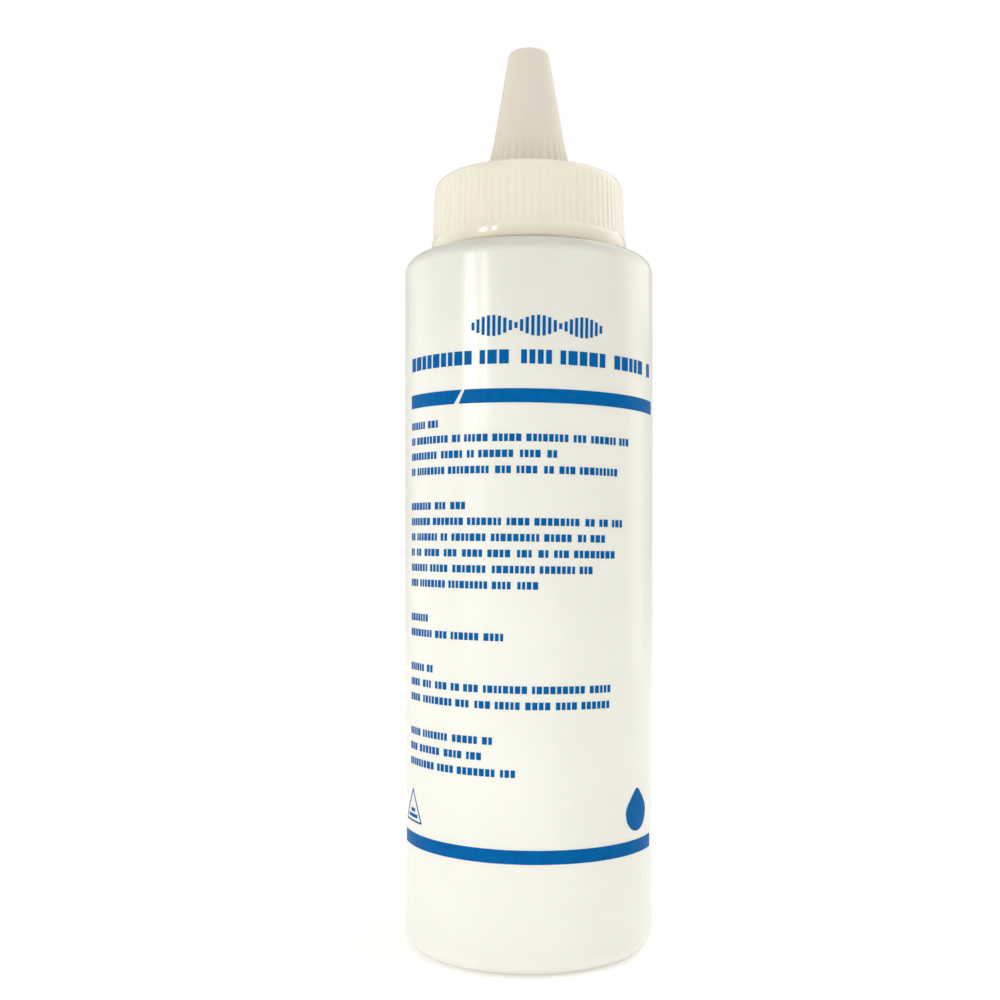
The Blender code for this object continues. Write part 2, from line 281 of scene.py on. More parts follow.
def body_wave(angle, z):
    """The slight unevenness that blow moulding leaves in a thin wall."""
    inside = np.clip((z - 6.0) / 10.0, 0.0, 1.0) * np.clip((130.0 - z) / 10.0, 0.0, 1.0)
    wave = 0.045 * np.sin(2.0 * angle + 0.9) * math.sin(z / 31.0 + 0.4)
    wave += 0.030 * np.sin(3.0 * angle - z / 44.0)
    wave += 0.018 * np.sin(5.0 * angle + 1.7) * math.sin(z / 13.0)
    return inside * wave


def parting_line(angle, radius):
    """A fine raised line down both sides, where the mould's halves meet."""
    away = np.minimum(np.abs(angle - 0.25 * TAU), np.abs(angle - 0.75 * TAU)) * radius
    return 0.07 * np.exp(-(away / 0.16) ** 2)


def on_wall_of(radius, wall_radius):
    """Whether an outline's point lies on a straight wall of the given radius."""
    return abs(radius[0] - wall_radius) < 0.01


def bottle_shape(angle, radius, z):
    """Adds the wall's waves, the mould's parting lines and the neck's thread."""
    both_sides = radius > BODY_R - WALL - 1.0
    outside = radius > BODY_R - WALL + 0.3
    grown = radius + body_wave(angle, z) * both_sides
    if z > BASE_CORNER + 0.4:
        grown = grown + parting_line(angle, radius) * outside
    if SHOULDER_Z + 1.2 < z < MOUTH_Z - 0.4 and on_wall_of(radius, NECK_R):
        grown = grown + thread_ridge(NECK_THREAD, angle, z) + parting_line(angle, radius)
    return grown


def bottle_angles():
    """Evenly spaced, with extra columns across the two parting lines."""
    angles = list(even_angles(216))
    for middle in (0.25 * TAU, 0.75 * TAU):
        for away in (0.08, 0.17, 0.28, 0.42):
            angles += [middle + away / BODY_R, middle - away / BODY_R]
    return np.array(sorted(set(angles)))


def bottle_outline():
    """From the middle of the base up the inside, over the lip and down the outside."""
    inner = BODY_R - WALL
    top = SHOULDER_Z - WALL
    points = [(0.0, PUSH_UP + WALL), (FOOT_RING - 3.4, PUSH_UP + WALL - 0.3)]
    points += [(FOOT_RING - 0.6, WALL + 0.6), (FOOT_RING + 1.0, WALL)]
    points += arc(inner - 3.0, WALL + 3.0, 3.0, -90.0, 0.0, 8)
    points += refine([(inner, WALL + 3.2), (inner, top - 2.4)], 6.0)
    points += arc(inner - 2.2, top - 2.2, 2.2, 0.0, 88.0, 8)
    points += arc(NECK_BORE + NECK_FILLET, top + 1.05, NECK_FILLET, 270.0, 180.0, 5)
    points += refine([(NECK_BORE, top + 1.3), (NECK_BORE, MOUTH_Z - LIP_INSIDE)], 3.0)
    points += arc(NECK_BORE + LIP_INSIDE, MOUTH_Z - LIP_INSIDE, LIP_INSIDE, 180.0, 90.0, 4)
    points += arc(NECK_R - LIP_OUTSIDE, MOUTH_Z - LIP_OUTSIDE, LIP_OUTSIDE, 90.0, 0.0, 5)
    points += refine([(NECK_R, MOUTH_Z - 0.4), (NECK_R, SHOULDER_Z + 1.25)], 0.22)
    points += arc(NECK_R + NECK_FILLET, SHOULDER_Z + 1.12, NECK_FILLET, 180.0, 270.0, 6)
    points += arc(BODY_R - SHOULDER_CORNER, SHOULDER_Z - SHOULDER_CORNER, SHOULDER_CORNER,
                  90.0, 0.0, 16)
    points += refine([(BODY_R, SHOULDER_Z - SHOULDER_CORNER - 0.6),
                      (BODY_R, BASE_CORNER + 0.6)], 1.8)
    points += arc(BODY_R - BASE_CORNER, BASE_CORNER, BASE_CORNER, 0.0, -90.0, 14)
    points += arc(FOOT_RING, FOOT_ROUND, FOOT_ROUND, -90.0, -150.0, 4)
    points += arc(FOOT_RING - 4.4, PUSH_UP - 3.1, 3.0, 40.0, 90.0, 6)
    points += refine([(FOOT_RING - 5.0, PUSH_UP - 0.08), (0.0, PUSH_UP)], 3.0)
    return points


def build_bottle(materials):
    mesh = revolve("bottle_shell", bottle_outline(), bottle_angles(), bottle_shape)
    add_piece("bottle_shell", mesh, "bottle", materials["bottle"],
              ["bottle_body"])


def build_pinch_line(materials):
    """The scar across the base where the mould pinched the parison shut."""
    half_length, half_width, proud, sunk = 11.5, 0.28, 0.16, 0.12
    section = ((-half_width, sunk), (-half_width * 0.4, -proud), (half_width * 0.4, -proud),
               (half_width, sunk))
    count = 40
    verts, faces = [], []
    for i in range(count + 1):
        x = -half_length + 2.0 * half_length * i / count
        fade = math.sqrt(max(0.0, 1.0 - (x / half_length) ** 4)) + 0.05
        wobble = 0.05 * math.sin(x * 1.9) + 0.03 * math.sin(x * 5.3)
        for y, z in section:
            verts.append((x * MM, (y * fade + wobble) * MM, (PUSH_UP + z * fade) * MM))
    for i in range(count):
        faces += quads_between(4 * i, 4 * i + 4)
    faces += [(3, 2, 1, 0), tuple(4 * count + k for k in range(4))]
    mesh = make_mesh("base_pinch_line", verts, faces, sharp=180.0)
    add_piece("base_pinch_line", mesh, "bottle", materials["bottle"])


def build_gel(materials):
    """The gel, with a level that creeps up a little at the wall."""
    top = GEL_TOP - GEL_CREEP
    points = refine([(0.0, top - 0.55), (GEL_R - 5.0, top - 0.4)], 2.5)
    points += [(GEL_R - 2.4, top - 0.25), (GEL_R - 1.2, top - 0.02), (GEL_R - 0.5, top + 0.22)]
    points += [(GEL_R, top + GEL_CREEP)]
    points += refine([(GEL_R, top - 1.0), (GEL_R, GEL_LOW + 4.0)], 8.0)
    points += arc(GEL_R - 3.0, GEL_LOW + 3.0, 3.0, 0.0, -90.0, 8)
    points += [(FOOT_RING + 1.0, GEL_LOW), (FOOT_RING - 0.7, GEL_LOW + 0.7)]
    points += [(FOOT_RING - 3.4, GEL_LOW + 2.2), (0.0, GEL_LOW + 2.4)]
    mesh = revolve("gel_mass", points, even_angles(128))
    add_piece("gel_mass", mesh, "bottle", materials["gel"], ["gel_fill"])


def foil_shape(angle, radius, z):
    """A slightly ragged edge, as left by a worn cutting die. The level z plays no part."""
    edge = np.clip((radius - FOIL_R + 1.2) / 1.2, 0.0, 1.0)
    return radius - edge * (0.05 + 0.05 * np.sin(23.0 * angle) * np.sin(5.0 * angle + 1.0))


def build_foil(materials):
    thick = FOIL_TOP - FOIL_LOW
    points = refine([(0.0, FOIL_TOP), (NECK_BORE - 0.6, FOIL_TOP)], 1.0)
    points += [(NECK_BORE - 0.2, FOIL_TOP - 0.03), (NECK_R - 0.9, FOIL_TOP - 0.02)]
    points += [(FOIL_R - 0.1, FOIL_TOP)]
    points += arc(FOIL_R - thick / 2.0, (FOIL_TOP + FOIL_LOW) / 2.0, thick / 2.0, 80.0, -80.0, 4)
    points += refine([(FOIL_R - 0.3, FOIL_LOW), (0.0, FOIL_LOW)], 4.0)
    mesh = revolve("mouth_foil", points, even_angles(160), foil_shape)
    add_piece("mouth_foil", mesh, "bottle", materials["foil"], ["foil_seal"])


# ---- the closure -----------------------------------------------------------------------------

def bar_wave(angle, count, sharpness):
    """1 on a rib's crest and 0 in the valley beside it, with rounded crests."""
    wave = 0.5 + 0.5 * np.cos(angle * count)
    return smoothstep(wave * sharpness)


def cap_shape(angle, radius, z):
    """Adds the skirt's ribs, which run down into the rim's flare, and the inside thread."""
    grown = radius.copy()
    if radius[0] > DECK_R and z > RIM_Z + RIM_HEIGHT:
        high = smoothstep(np.full_like(angle, (RIB_TOP - z) / RIB_FADE))
        ribs = np.minimum(radius, SKIRT_LOW) + RIB_HEIGHT * bar_wave(angle, RIBS, 1.25) * high
        grown = np.maximum(grown, ribs)
    if on_wall_of(radius, CAP_BORE) and z < DECK_UNDER - 0.5:
        grown -= thread_ridge(CAP_THREAD, angle, z)
    return grown


def cap_outline():
    """The shell of the closure, from the spigot's foot over the deck and back inside."""
    rim_top = RIM_Z + RIM_HEIGHT
    points = [(3.6, SEAT_Z - 0.5), (4.7, SEAT_Z), (SEAT_R - 0.6, SEAT_Z)]
    points += arc(SEAT_R - 0.3, SEAT_Z - 0.5, 0.5, 90.0, 66.0, 3)
    points += refine([(SEAT_R + 0.4, SEAT_Z - 0.2), (11.2, 155.07), (13.4, 154.55),
                      (15.4, 153.98)], 0.8)
    points += arc(SKIRT_TOP - DECK_CORNER, SKIRT_TOP_Z, DECK_CORNER, 74.0, 0.0, 16)
    points += refine([(SKIRT_TOP + 0.01, SKIRT_TOP_Z - 0.3), (SKIRT_LOW, rim_top + 0.6)], 0.4)
    points += arc(SKIRT_LOW + RIM_FLARE, rim_top + 0.55, RIM_FLARE, 180.0, 215.0, 4)
    points += [(RIM_R - 0.12, rim_top - 0.25), (RIM_R - 0.04, rim_top - 0.5),
               (RIM_R - 0.01, rim_top - 0.7)]
    bulge = rim_top - RIM_SHOULDER - np.linspace(0.0, RIM_BULGE_HEIGHT, 7)
    points += [(RIM_R - RIM_BULGE * (bulge[0] - z) ** 2, z) for z in bulge]
    points += arc(RIM_R - RIM_ROUND_IN, RIM_FOOT + RIM_ROUND, RIM_ROUND, -8.0, -90.0, 8)
    points += [(CAP_BORE + 0.5, RIM_FOOT), (CAP_BORE + 0.25, RIM_FOOT + 0.12),
               (CAP_BORE, RIM_Z + 0.6)]
    points += refine([(CAP_BORE, RIM_Z + 0.8), (CAP_BORE, DECK_UNDER - 0.4)], 0.24)
    points += [(CAP_BORE - 0.1, DECK_UNDER - 0.1), (CAP_BORE - 0.35, DECK_UNDER)]
    points += [(14.6, DECK_UNDER), (14.4, DECK_UNDER + 0.4)]
    points += refine([(14.2, DECK_UNDER + 0.6), (6.0, DECK_INSIDE), (3.6, DECK_INSIDE)], 2.0)
    return points


def build_cap(materials):
    mesh = revolve("closure_shell", cap_outline(), even_angles(RIBS * 6), cap_shape,
                   closed=True, sharp=50.0)
    add_piece("closure_shell", mesh, "cap", materials["cap"], ["screw_cap"])


def spigot_shape(angle, radius, z):
    """Adds the two-start thread that the nozzle turns on."""
    if on_wall_of(radius, SPIGOT_R):
        return radius + thread_ridge(SPIGOT_THREAD, angle, z)
    return radius


def build_spigot(materials):
    lip_z = SPIGOT_TOP - SPIGOT_LIP
    points = arc(3.5, lip_z, SPIGOT_LIP, 180.0, 90.0, 3)
    points += arc(SPIGOT_NECK_R - SPIGOT_LIP, lip_z, SPIGOT_LIP, 90.0, 0.0, 4)
    points += refine([(SPIGOT_NECK_R, SPIGOT_TOP - 0.5), (SPIGOT_NECK_R, SPIGOT_NECK_Z + 0.1)], 1.2)
    points += [(4.5, SPIGOT_NECK_Z - 0.1)]
    points += refine([(SPIGOT_R, SPIGOT_NECK_Z - 0.4), (SPIGOT_R, SEAT_Z + 0.05)], 0.15)
    points += [(5.2, SEAT_Z - 0.15), (SPIGOT_R, SEAT_Z - 0.6), (3.2, SEAT_Z - 0.7)]
    mesh = revolve("closure_spigot", points, even_angles(144), spigot_shape, closed=True)
    add_piece("closure_spigot", mesh, "cap", materials["cap"], ["screw_cap"])


def build_pin(materials):
    """The pin that blocks the orifice while the nozzle is down."""
    points = [(0.0, PIN_TOP)]
    points += arc(PIN_TIP_R - 0.4, PIN_TOP - 0.4, 0.4, 90.0, 0.0, 5)
    points += refine([(PIN_TIP_R, PIN_TOP - 0.6), (PIN_TIP_R, 171.0), (PIN_R, 165.0),
                      (PIN_R, PIN_FOOT + 0.4)], 1.5)
    points += [(1.6, PIN_FOOT), (0.0, PIN_FOOT)]
    mesh = revolve("closure_pin", points, even_angles(48))
    add_piece("closure_pin", mesh, "cap", materials["cap"], ["screw_cap"])


def build_webs(materials):
    """Three webs that hold the pin in the middle of the spigot."""
    section = ((-1, 0.25), (1, 0.25), (1, 1.9), (0.4, 2.1), (-0.4, 2.1), (-1, 1.9))
    verts, faces = [], []
    for k in range(3):
        turn = TAU * (k + 0.25) / 3.0
        out = (math.cos(turn), math.sin(turn))
        side = (-out[1], out[0])
        rows = []
        for r in (1.5, 2.1, 2.7, 3.6):
            flare = 0.55 + 0.35 * abs(r - 2.5)
            ring = []
            for s, up in section:
                x = out[0] * r + side[0] * s * flare
                y = out[1] * r + side[1] * s * flare
                ring.append(len(verts))
                verts.append((x * MM, y * MM, (PIN_FOOT + up) * MM))
            rows.append(ring)
        for a, b in zip(rows, rows[1:]):
            for i in range(6):
                n = (i + 1) % 6
                faces.append((a[i], a[n], b[n], b[i]))
        faces += [tuple(rows[0][::-1]), tuple(rows[-1])]
    mesh = make_mesh("closure_webs", verts, faces, sharp=40.0)
    add_piece("closure_webs", mesh, "cap", materials["cap"], ["screw_cap"])


def build_gasket(materials):
    """A foam ring with rounded edges and a shallow groove pressed in by the bottle's mouth."""
    inner, edge, groove = GASKET_R - 3.0, 0.2, 0.12
    points = arc(inner + edge, GASKET_TOP - edge, edge, 180.0, 90.0, 3)
    points += arc(GASKET_R - edge, GASKET_TOP - edge, edge, 90.0, 0.0, 3)
    points += arc(GASKET_R - edge, GASKET_LOW + edge, edge, 0.0, -90.0, 3)
    points += [(NECK_R + 0.2, GASKET_LOW), (NECK_R - 0.1, GASKET_LOW + groove),
               (NECK_BORE + 0.1, GASKET_LOW + groove), (NECK_BORE - 0.2, GASKET_LOW)]
    points += arc(inner + edge, GASKET_LOW + edge, edge, 270.0, 180.0, 3)
    mesh = revolve("gasket_ring", points, even_angles(144), closed=True)
    add_piece("gasket_ring", mesh, "cap_carrier", materials["gasket"],
              ["cap_gasket"])


# ---- the nozzle ------------------------------------------------------------------------------

def nozzle_radius(z):
    """The cone's outside, without its grip ribs."""
    return NOZZLE_FOOT_R - TAPER * (z - NOZZLE_Z)


def nozzle_shape(angle, radius, z):
    """Adds the inside thread, and grip ribs that start at the foot and thin out upwards."""
    level = z - NOZZLE_Z
    if on_wall_of(radius, NOZZLE_BORE) and level < 5.0:
        return radius - thread_ridge(NOZZLE_THREAD, angle, z)
    if level < GRIP_TOP + 0.4 and radius[0] > nozzle_radius(z) - 0.3:
        fade = smoothstep(np.full_like(angle, (GRIP_TOP - level) / GRIP_FADE))
        foot = smoothstep(np.full_like(angle, level / 0.5))
        strength = (0.25 * (fade > 0.0) + 0.75 * fade) * foot
        return radius + GRIP_HEIGHT * bar_wave(angle, GRIPS, 1.2) * strength
    return radius


def on_cone(z):
    """The outline's point on the cone at a level."""
    return (nozzle_radius(z), z)


def nozzle_outline():
    """From the orifice down the cone, around the foot and up the bore past the seal's groove."""
    shoulder = TIP_Z - TIP_CORNER
    grip_top = NOZZLE_Z + GRIP_TOP
    groove_r, groove_low, groove_top = 5.95, 161.85, 163.55
    points = arc(ORIFICE + 0.3, TIP_Z - 0.3, 0.3, 180.0, 90.0, 4)
    points += arc(nozzle_radius(shoulder) - TIP_CORNER, shoulder, TIP_CORNER, 90.0, 9.7, 10)
    points += refine([on_cone(TIP_TAPER_Z), on_cone(grip_top + 0.3)], 1.0)
    points += refine([on_cone(grip_top), on_cone(NOZZLE_Z + 0.3)], 0.3)
    points += arc(NOZZLE_FOOT_R - 0.3, NOZZLE_Z + 0.25, 0.25, 0.0, -90.0, 3)
    points += [(NOZZLE_BORE + 0.3, NOZZLE_Z), (NOZZLE_BORE + 0.1, NOZZLE_Z + 0.15),
               (NOZZLE_BORE, NOZZLE_Z + 0.4)]
    points += refine([(NOZZLE_BORE, NOZZLE_Z + 0.5), (NOZZLE_BORE, NOZZLE_Z + 5.0)], 0.15)
    points += [(5.4, groove_low - 0.4), (5.4, groove_low - 0.15), (groove_r, groove_low),
               (groove_r, groove_top), (NOZZLE_CHAMBER, groove_top + 0.15)]
    points += refine([(NOZZLE_CHAMBER, groove_top + 0.25), (NOZZLE_CHAMBER, 167.1), (3.0, 176.6),
                      (ORIFICE, 177.3)], 1.5)
    points += [(ORIFICE, TIP_Z - 0.5)]
    return points


def build_nozzle(materials):
    mesh = revolve("nozzle_cone", nozzle_outline(), even_angles(GRIPS * 8), nozzle_shape,
                   closed=True)
    add_piece("nozzle_cone", mesh, "nozzle", materials["nozzle"],
              ["twist_nozzle"])


def build_seal(materials):
    middle_z = (SEAL_LOW + SEAL_TOP) / 2.0
    half = (SEAL_TOP - SEAL_LOW) / 2.0
    points = arc(SEAL_R - half, middle_z, half, 180.0, -180.0, 20)[:-1]
    mesh = revolve("seal_ring", points, even_angles(96), closed=True)
    add_piece("seal_ring", mesh, "nozzle_carrier", materials["seal"],
              ["nozzle_seal_ring"])


# ---- the print -------------------------------------------------------------------------------

def on_wall(across, up, lift):
    """A place on the label, lengths along the wall, as a point on the bottle."""
    rise = up - PRINT_CENTRE_Z
    along = across * math.cos(PRINT_TILT) + rise * math.sin(PRINT_TILT)
    z = PRINT_CENTRE_Z - across * math.sin(PRINT_TILT) + rise * math.cos(PRINT_TILT)
    angle = along / BODY_R
    radius = BODY_R + float(body_wave(np.array([angle % TAU]), z)[0]) + lift
    return (radius * math.sin(angle) * MM, -radius * math.cos(angle) * MM, z * MM)


class Ink:
    """Collects thin printed shapes that follow the bottle's wall."""

    def __init__(self):
        self.verts = []
        self.faces = []

    def strip(self, low, high):
        """A closed film between two lines of (across, up) points of the same count."""
        start = len(self.verts)
        for a, b in zip(low, high):
            for across, up in (a, b):
                self.verts.append(on_wall(across, up, INK_THICK))
            for across, up in (b, a):
                self.verts.append(on_wall(across, up, -INK_SUNK))
        for i in range(len(low) - 1):
            self.faces += quads_between(start + 4 * i, start + 4 * i + 4)
        end = start + 4 * (len(low) - 1)
        self.faces.append((start + 3, start + 2, start + 1, start))
        self.faces.append((end, end + 1, end + 2, end + 3))

    def bar(self, left, right, low, high, slant_left=0.0, slant_right=0.0):
        """An upright bar or a band whose ends may lean by a length at the top."""
        count = max(1, int(math.ceil((right - left) / 0.7)))
        share = [i / count for i in range(count + 1)]
        bottom = [(left + (right - left) * s, low) for s in share]
        top_left, top_right = left + slant_left, right + slant_right
        top = [(top_left + (top_right - top_left) * s, high) for s in share]
        self.strip(bottom, top)

    def line(self, start, end, half):
        """A straight stroke of the given half-width between two points."""
        length = math.dist(start, end)
        nx, ny = -(end[1] - start[1]) / length * half, (end[0] - start[0]) / length * half
        count = max(2, int(math.ceil(length / 0.5)))
        points = [(start[0] + (end[0] - start[0]) * i / count,
                   start[1] + (end[1] - start[1]) * i / count) for i in range(count + 1)]
        self.strip([(x - nx, y - ny) for x, y in points], [(x + nx, y + ny) for x, y in points])


def greeked_row(ink, rng, left, right, base, height, gap):
    """Placeholder writing: words as runs of plain blocks of one height, which spell nothing."""
    across = left
    while across < right - height:
        for _ in range(rng.choice(WORD_LENGTHS)):
            width = height * rng.choice(BLOCK_WIDTHS)
            if across + width > right:
                return
            ink.bar(across, across + width, base, base + height)
            across += width + gap
        across += height * rng.choice(WORD_SPACES)


def wave_mark(ink, left, right, middle):
    """A generic pulse: upright bars whose heights rise and fall in three packets."""
    count = 25
    pitch = (right - left) / count
    half_width = pitch * 0.29
    for i in range(count):
        packet = abs(math.sin(3.0 * math.pi * (i + 0.5) / count))
        half = 0.45 + 1.5 * packet
        across = left + pitch * (i + 0.5)
        ink.bar(across - half_width, across + half_width, middle - half, middle + half)


def droplet(ink, across, base, width, height):
    """A plain drop: round below, drawn to a point above."""
    count = 28
    belly = width / 2.0
    low, high = [], []
    for i in range(count + 1):
        s = -1.0 + 2.0 * i / count
        reach = math.sqrt(max(0.0, 1.0 - s * s))
        point = (height - belly) * (1.0 - abs(s)) ** 1.35
        shoulder = 0.55 * belly * reach * abs(s) ** 0.6
        low.append((across + s * belly, base + belly * (1.0 - reach)))
        high.append((across + s * belly, base + belly + point + shoulder))
    ink.strip(low, high)


def triangle(ink, left, right, base, apex):
    """A plain outlined triangle with two bars across its lower part."""
    corners = ((left, base), (right, base), ((left + right) / 2.0, apex))
    for start, end in ((0, 1), (0, 2), (2, 1)):
        ink.line(corners[start], corners[end], STROKE)
    for k in range(2):
        inset = 1.6 + 1.1 * k
        ink.bar(left + inset, right - inset, base + 0.7 + 1.1 * k, base + 1.4 + 1.1 * k)


def build_print(materials):
    """Wave mark, title row, split band, five paragraphs, two small marks and the lower band."""
    ink = Ink()
    rng = random.Random(11)
    wave_mark(ink, left=-11.9, right=14.1, middle=120.4)
    greeked_row(ink, rng, TEXT_LEFT, 31.3, base=113.35, height=2.6, gap=0.45)
    half = BAND_HEIGHT / 2.0
    ink.bar(-29.3, -15.4, UPPER_BAND - half, UPPER_BAND + half, slant_right=1.75)
    ink.bar(-14.3, 31.9, UPPER_BAND - half, UPPER_BAND + half, slant_left=1.27)
    up = TEXT_TOP
    for lengths in PARAGRAPHS:
        for length in lengths:
            greeked_row(ink, rng, TEXT_LEFT, TEXT_LEFT + length, up, LINE_HEIGHT, gap=0.28)
            up -= LINE_PITCH
        up -= PARAGRAPH_GAP - LINE_PITCH
    triangle(ink, left=-31.4, right=-24.0, base=26.0, apex=32.2)
    droplet(ink, across=24.9, base=25.4, width=7.6, height=8.2)
    ink.bar(-32.4, 31.7, LOWER_BAND - half, LOWER_BAND + half)
    add_piece("front_print", make_mesh("front_print", ink.verts, ink.faces), "bottle",
              materials["ink"])


# ---- materials -------------------------------------------------------------------------------

def srgb(r, g, b):
    """Linear colour of an 8-bit sRGB one."""
    out = []
    for value in (r, g, b):
        v = value / 255.0
        out.append(v / 12.92 if v <= 0.04045 else ((v + 0.055) / 1.055) ** 2.4)
    return (*out, 1.0)


class Nodes:
    """Short calls for building a material's node tree."""

    def __init__(self, name):
        self.material = bpy.data.materials.new(name)
        self.material.use_nodes = True
        self.tree = self.material.node_tree
        self.shader = self.tree.nodes["Principled BSDF"]
        self.coords = self.add("ShaderNodeTexCoord").outputs["Object"]

    def add(self, kind, **settings):
        node = self.tree.nodes.new(kind)
        for key, value in settings.items():
            setattr(node, key, value)
        return node

    def link(self, source, target):
        self.tree.links.new(source, target)

    def stretched(self, x, y, z):
        node = self.add("ShaderNodeMapping")
        node.inputs["Scale"].default_value = (x, y, z)
        self.link(self.coords, node.inputs["Vector"])
        return node.outputs["Vector"]

    def noise(self, scale, detail=2.0, vector=None, distortion=0.0):
        node = self.add("ShaderNodeTexNoise")
        node.inputs["Scale"].default_value = scale
        node.inputs["Detail"].default_value = detail
        node.inputs["Distortion"].default_value = distortion
        self.link(vector or self.coords, node.inputs["Vector"])
        return node.outputs["Fac"]

    def remap(self, value, low, high, from_low=0.3, from_high=0.7):
        node = self.add("ShaderNodeMapRange")
        node.inputs["From Min"].default_value = from_low
        node.inputs["From Max"].default_value = from_high
        node.inputs["To Min"].default_value = low
        node.inputs["To Max"].default_value = high
        self.link(value, node.inputs["Value"])
        return node.outputs["Result"]

    def mix(self, factor, first, second):
        """A blend of two fixed colours."""
        node = self.add("ShaderNodeMix", data_type="RGBA")
        self.link(factor, node.inputs["Factor"])
        node.inputs[MIX_A].default_value = first
        node.inputs[MIX_B].default_value = second
        return node.outputs[MIX_OUT]

    def multiply(self, first, second):
        node = self.add("ShaderNodeMix", data_type="RGBA", blend_type="MULTIPLY")
        node.inputs["Factor"].default_value = 1.0
        self.link(first, node.inputs[MIX_A])
        self.link(second, node.inputs[MIX_B])
        return node.outputs[MIX_OUT]

    def ramp(self, value, top, stops):
        """Grey levels along a length in metres. stops are (length in mm, grey)."""
        node = self.add("ShaderNodeValToRGB")
        self.link(self.remap(value, 0.0, 1.0, 0.0, top * MM), node.inputs["Fac"])
        elements = node.color_ramp.elements
        while len(elements) < len(stops):
            elements.new(0.5)
        for element, (place, _) in zip(elements, stops):
            element.position = place / top
        for element, (_, grey) in zip(elements, stops):
            element.color = (grey, grey, grey, 1.0)
        return node.outputs["Color"]

    def height(self):
        node = self.add("ShaderNodeSeparateXYZ")
        self.link(self.coords, node.inputs["Vector"])
        return node.outputs["Z"]

    def bump(self, heights):
        """Chains bumps. heights is a list of (value, strength, distance in mm)."""
        normal = None
        for value, strength, distance in heights:
            node = self.add("ShaderNodeBump")
            node.inputs["Strength"].default_value = strength
            node.inputs["Distance"].default_value = distance * MM
            self.link(value, node.inputs["Height"])
            if normal is not None:
                self.link(normal, node.inputs["Normal"])
            normal = node.outputs["Normal"]
        self.link(normal, self.shader.inputs["Normal"])

    def set(self, **values):
        for key, value in values.items():
            self.shader.inputs[key.replace("_", " ")].default_value = value


def bottle_material():
    """Milky polyethylene: soft sheen, faint draw marks down the wall, cloudy wall thickness.

    Painted shade: a little greyer in the top fifth, greyest at the shoulder and neck, darker at the
    foot.
    """
    n = Nodes("bottle_polyethylene")
    cloud = n.remap(n.noise(55.0, 3.0), 0.0, 1.0)
    base = n.mix(cloud, srgb(236, 235, 224), srgb(241, 240, 229))
    # painted shade by height: greyer near the top, darkest around the shoulder and neck under the
    # closure, slightly darker at the foot
    painted_shade = n.ramp(n.height(), 150.0, (
        (0.0, 0.97), (8.0, 1.0), (106.0, 0.99), (124.0, 0.915), (134.4, 0.90), (135.3, 0.79),
        (136.2, 0.69), (137.15, 0.68), (137.48, 0.82), (145.0, 0.90)))
    n.link(n.multiply(base, painted_shade), n.shader.inputs["Base Color"])
    draw = n.noise(190.0, 3.0, n.stretched(1.0, 1.0, 0.05))
    grain = n.noise(2600.0, 2.0)
    swell = n.noise(70.0, 1.0)
    n.link(n.remap(draw, 0.17, 0.22), n.shader.inputs["Roughness"])
    n.bump([(swell, 0.30, 0.10), (draw, 0.12, 0.02), (grain, 0.12, 0.008)])
    n.set(IOR=1.5, Subsurface_Weight=0.25, Subsurface_Radius=(1.0, 0.92, 0.75),
          Subsurface_Scale=0.003)
    return n.material


def moulded_material(name, light, dark, roughness, grain_strength):
    """Injection-moulded polypropylene: fine spark-eroded grain, small flow differences."""
    n = Nodes(name)
    flow = n.remap(n.noise(90.0, 2.0, n.stretched(1.0, 1.0, 0.35), 0.4), 0.0, 1.0)
    n.link(n.mix(flow, dark, light), n.shader.inputs["Base Color"])
    fine = n.noise(3400.0, 2.0)
    n.link(n.remap(n.noise(420.0, 2.0), roughness - 0.04, roughness + 0.05),
           n.shader.inputs["Roughness"])
    n.bump([(n.noise(180.0, 1.0), 0.08, 0.01), (fine, grain_strength, 0.006)])
    n.set(IOR=1.49, Subsurface_Weight=0.2, Subsurface_Radius=(1.0, 0.85, 0.6),
          Subsurface_Scale=0.002)
    return n.material


def ink_material():
    """Screen-printed ink: even, nearly matt, thinner in places."""
    n = Nodes("print_ink")
    patches = n.remap(n.noise(700.0, 4.0), 0.0, 1.0)
    n.link(n.mix(patches, srgb(0, 88, 152), srgb(0, 97, 163)), n.shader.inputs["Base Color"])
    n.link(n.remap(n.noise(1500.0, 2.0), 0.30, 0.42), n.shader.inputs["Roughness"])
    n.bump([(n.noise(2600.0, 2.0), 0.2, 0.006)])
    n.set(IOR=1.48, Specular_IOR_Level=0.03)
    return n.material


def gel_material():
    """Clear, faintly blue gel with trapped air."""
    n = Nodes("clear_gel")
    bubbles = n.add("ShaderNodeTexVoronoi", distance="EUCLIDEAN")
    bubbles.inputs["Scale"].default_value = 420.0
    n.link(n.coords, bubbles.inputs["Vector"])
    spots = n.remap(bubbles.outputs["Distance"], 1.0, 0.0, 0.08, 0.16)
    n.link(n.mix(spots, srgb(196, 222, 228), srgb(240, 248, 250)), n.shader.inputs["Base Color"])
    n.link(n.remap(n.noise(120.0, 2.0), 0.04, 0.09), n.shader.inputs["Roughness"])
    n.bump([(n.noise(90.0, 2.0), 0.4, 0.3)])
    n.set(IOR=1.34, Transmission_Weight=0.55, Subsurface_Weight=0.3,
          Subsurface_Radius=(0.7, 0.9, 1.0), Subsurface_Scale=0.004)
    return n.material


